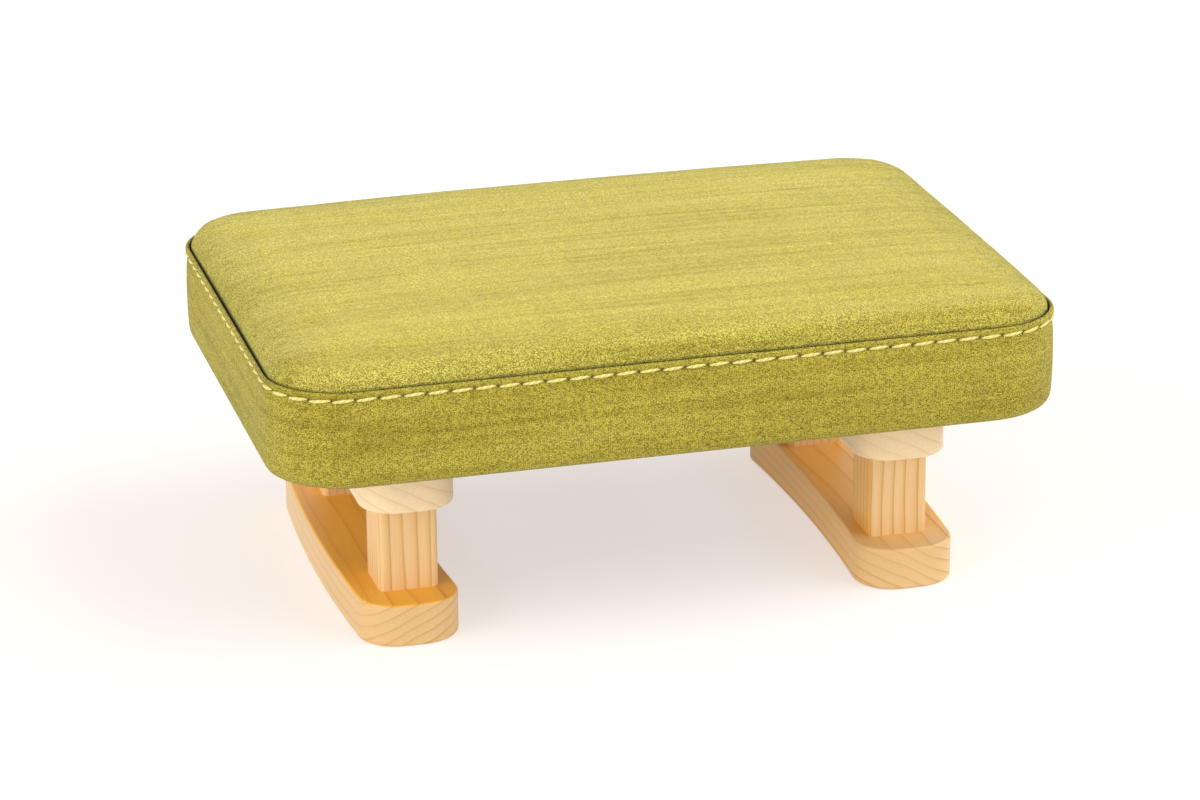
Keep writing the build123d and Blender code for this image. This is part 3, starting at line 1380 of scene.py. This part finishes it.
@dataclass
class Fixings:
    """The board, dowels and metal parts, which keep their CAD shapes."""

    steel_nodes: tuple[str, ...] = (
        "staples", "tee_nuts", "seat_bolts", "bolt_washers", "rail_screws", "runner_screws")
    dowel_nodes: tuple[str, ...] = ("rail_dowels", "runner_dowels")
    dowel_pith: tuple[float, float] = (0.3, 0.3)
    dowel_ring: float = 1.6 * MM
    dowel_seed: float = 5.5

    def dress(self) -> None:
        """Gives each group its finish."""
        steel, ply = SteelFinish().material(), PlyFinish().material()
        beech = PineFinish(
            "dowel_beech", Grain.UPRIGHT, self.dowel_pith, self.dowel_seed, ring=self.dowel_ring,
            pale=(0.72, 0.54, 0.36), warm=(0.68, 0.49, 0.31), late=(0.58, 0.40, 0.24)).material()
        for nodes, material in (
                (self.steel_nodes, steel), (self.dowel_nodes, beech), (("seat_board",), ply)):
            for node in nodes:
                Bench.paint(node, material)


@dataclass
class Studio:
    """A pale floor, soft light from the upper right and from the left, and the camera."""

    floor_size: float = 16.0
    floor_drop: float = 0.2 * MM
    floor_colour: Colour = (0.86, 0.85, 0.84)
    seen_colour: Colour = (1.0, 0.965, 0.94)
    glow_colour: Colour = (1.0, 0.93, 0.895)
    glow: float = 1.27
    shadow_lift: float = 0.455
    sky: float = 0.56
    key_strength: float = 1.90
    key_from: Point = (0.74, -0.33, 0.59)
    key_spread: float = math.radians(60.0)
    fill_strength: float = 2.25
    fill_from: Point = (-0.90, -0.38, 0.22)
    fill_spread: float = math.radians(60.0)
    sensor: float = 36.0
    lens: float = 128.65
    azimuth: float = math.radians(-15.24)
    elevation: float = math.radians(20.37)
    roll: float = math.radians(-0.42)
    distance: float = 2.20
    target: Point = (-5.6 * MM, 0.0, 77.6 * MM)
    far: float = 100.0

    def build(self) -> None:
        """Sets up the floor, the light and the camera."""
        self._floor()
        self._light()
        self._camera()
        bpy.context.scene.view_settings.view_transform = "Standard"
        LOG.info("studio ready")

    @staticmethod
    def _seen(tree: bpy.types.NodeTree) -> Signal:
        """Tells where the camera, a gloss or a glass looks straight at the surface.

        Args:
            tree: the floor's or the sky's node tree.

        Returns:
            A signal that is 1 there and 0 elsewhere.
        """
        path = tree.nodes.new("ShaderNodeLightPath")
        seen = Signal(tree, path.outputs["Is Camera Ray"])
        for kind in ("Glossy", "Transmission"):
            seen = seen + Signal(tree, path.outputs[f"Is {kind} Ray"])
        return seen.math("MINIMUM", seen, 1.0)

    def _floor(self) -> None:
        """Lays the floor, whiter to the camera than to the stool."""
        Bench.clear()
        bpy.ops.mesh.primitive_plane_add(
            size=self.floor_size, location=(0.0, 0.0, -self.floor_drop))
        floor = bpy.context.object
        floor.name = "studio_floor"
        sheet = Sheet("studio_floor")
        seen = self._seen(sheet.tree)
        colour = sheet.mix(seen, self.floor_colour, self.seen_colour)
        sheet.feed({"Base Color": colour, "Roughness": 1.0, "Specular IOR Level": 0.0})
        glow = sheet.node("ShaderNodeEmission", sockets={
            "Color": (*self.glow_colour, 1.0), "Strength": self.glow})
        blend = sheet.node("ShaderNodeMixShader", sockets={
            0: seen * self.shadow_lift, 1: sheet.surface.outputs["BSDF"],
            2: glow.outputs["Emission"]})
        sheet.tree.links.new(blend.outputs["Shader"], sheet.output.inputs["Surface"])
        floor.data.materials.append(sheet.material)

    def _light(self) -> None:
        """Lights the stool with an even sky and broad lamps on the upper right and the left."""
        world = bpy.data.worlds.new("studio_sky")
        bpy.context.scene.world = world
        world.use_nodes = True
        sky = world.node_tree.nodes["Background"]
        sky.inputs["Color"].default_value = (1.0, 1.0, 1.0, 1.0)
        strength = self.sky + self._seen(world.node_tree) * (1.0 - self.sky)
        world.node_tree.links.new(strength.socket, sky.inputs["Strength"])
        self._lamp("key_lamp", self.key_strength, self.key_from, self.key_spread)
        self._lamp("fill_lamp", self.fill_strength, self.fill_from, self.fill_spread)

    @staticmethod
    def _lamp(name: str, strength: float, source: Point, spread: float) -> None:
        """Hangs one far, soft lamp.

        Args:
            name: the lamp's name.
            strength: its strength.
            source: the direction it shines from.
            spread: how wide it looks, in radians.
        """
        lamp = bpy.data.lights.new(name, "SUN")
        lamp.energy = strength
        lamp.angle = spread
        holder = bpy.data.objects.new(name, lamp)
        holder.rotation_euler = Vector(source).to_track_quat("Z", "Y").to_euler()
        bpy.context.scene.collection.objects.link(holder)

    def _camera(self) -> None:
        """Puts the camera where the picture was taken from."""
        data = bpy.data.cameras.new("camera")
        data.lens = self.lens
        data.sensor_width = self.sensor
        data.clip_end = self.far
        camera = bpy.data.objects.new("camera", data)
        flat = math.cos(self.elevation)
        back = Vector((
            math.sin(self.azimuth) * flat, -math.cos(self.azimuth) * flat,
            math.sin(self.elevation)))
        camera.location = Vector(self.target) + back * self.distance
        aim = (-back).to_track_quat("-Z", "Y").to_matrix() @ Matrix.Rotation(self.roll, 3, "Z")
        camera.rotation_euler = aim.to_euler()
        bpy.context.scene.collection.objects.link(camera)
        bpy.context.scene.camera = camera


def main() -> None:
    """Builds the stool's soft pieces, dresses its frames and sets up the studio."""
    logging.basicConfig(level=logging.INFO, format="%(name)s: %(message)s")
    plan = SeatPlan()
    SeatPad(plan).build()
    band = SeatBand(plan)
    band.build()
    Topstitch(plan, band).build()
    DustCover().build()
    LegFrames().dress()
    Fixings().dress()
    Studio().build()


if __name__ == "__main__":
    main()
